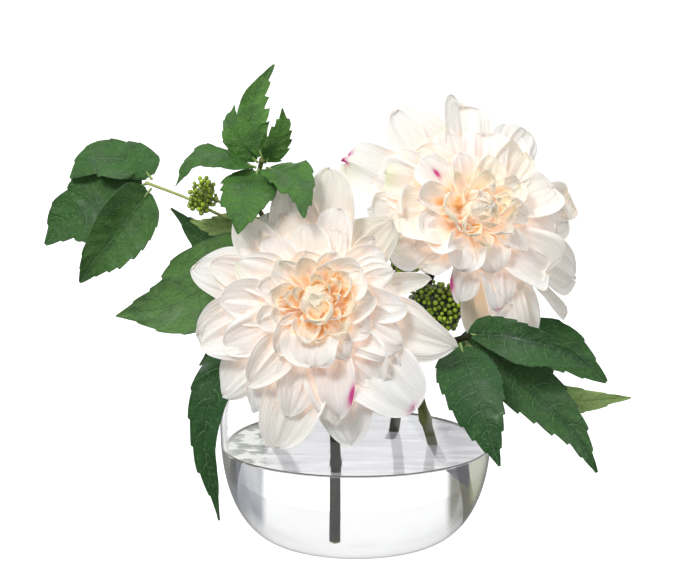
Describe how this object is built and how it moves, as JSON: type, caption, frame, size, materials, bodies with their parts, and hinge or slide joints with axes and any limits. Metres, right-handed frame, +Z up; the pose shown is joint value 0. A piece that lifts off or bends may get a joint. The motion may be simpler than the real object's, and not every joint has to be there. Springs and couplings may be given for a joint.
{
  "type": "vase of dahlias",
  "caption": "Round clear glass bowl of water holding full cream and blush dahlia heads, green berry sprigs and serrated leafy branches; stands on its flat foot.",
  "frame": {"origin": "centre of the bowl's flat foot, on the surface it stands on", "axes": "+Z up, -Y towards the front that the near dahlia faces, +X to the right seen from the front"},
  "size_m": [0.3257, 0.1788, 0.2724],
  "materials": {
    "glass": "clear polished",
    "water": "clear",
    "petal": "soft matte",
    "heart": "soft matte",
    "leaf": "satin",
    "pale_leaf": "matte",
    "stem": "matte",
    "green_stem": "matte",
    "berry": "gloss"
  },
  "bodies": {
    "root": {"glass_bowl": "glass", "water": "water", "front_dahlia_stem": "stem", "front_dahlia_calyx": "pale_leaf", "front_dahlia_petal_layer_1": "petal", "front_dahlia_petal_layer_2": "petal", "front_dahlia_petal_layer_3": "petal", "front_dahlia_petal_layer_4": "petal", "front_dahlia_petal_layer_5": "petal", "front_dahlia_petal_layer_6": "petal", "front_dahlia_heart": "heart", "rear_dahlia_stem": "stem", "rear_dahlia_calyx": "pale_leaf", "rear_dahlia_petal_layer_1": "petal", "rear_dahlia_petal_layer_2": "petal", "rear_dahlia_petal_layer_3": "petal", "rear_dahlia_petal_layer_4": "petal", "rear_dahlia_petal_layer_5": "petal", "rear_dahlia_petal_layer_6": "petal", "rear_dahlia_heart": "heart", "left_branch": "green_stem", "right_branch": "stem", "far_left_stalk": "green_stem", "left_berry_stalk": "green_stem", "middle_berry_stalk": "green_stem", "right_berry_stalk": "green_stem", "left_berries": "berry", "middle_berries": "berry", "right_berries": "berry", "top_leaf_tall": "leaf", "top_leaf_left": "leaf", "top_leaf_right": "leaf", "top_leaf_bent": "leaf", "top_leaf_lower": "leaf", "top_leaf_low_right": "leaf", "far_left_leaf_upper": "leaf", "far_left_leaf_outer": "leaf", "far_left_leaf_inner": "leaf", "broad_left_leaf": "leaf", "dark_left_leaf": "leaf", "pale_left_leaf": "pale_leaf", "small_left_leaf": "leaf", "hanging_leaf": "leaf", "right_leaf_upper": "leaf", "right_leaf_back": "leaf", "right_leaf_front": "leaf", "right_leaf_low": "leaf", "right_leaf_pale": "pale_leaf", "right_leaf_small": "leaf"}
  },
  "joints": []
}
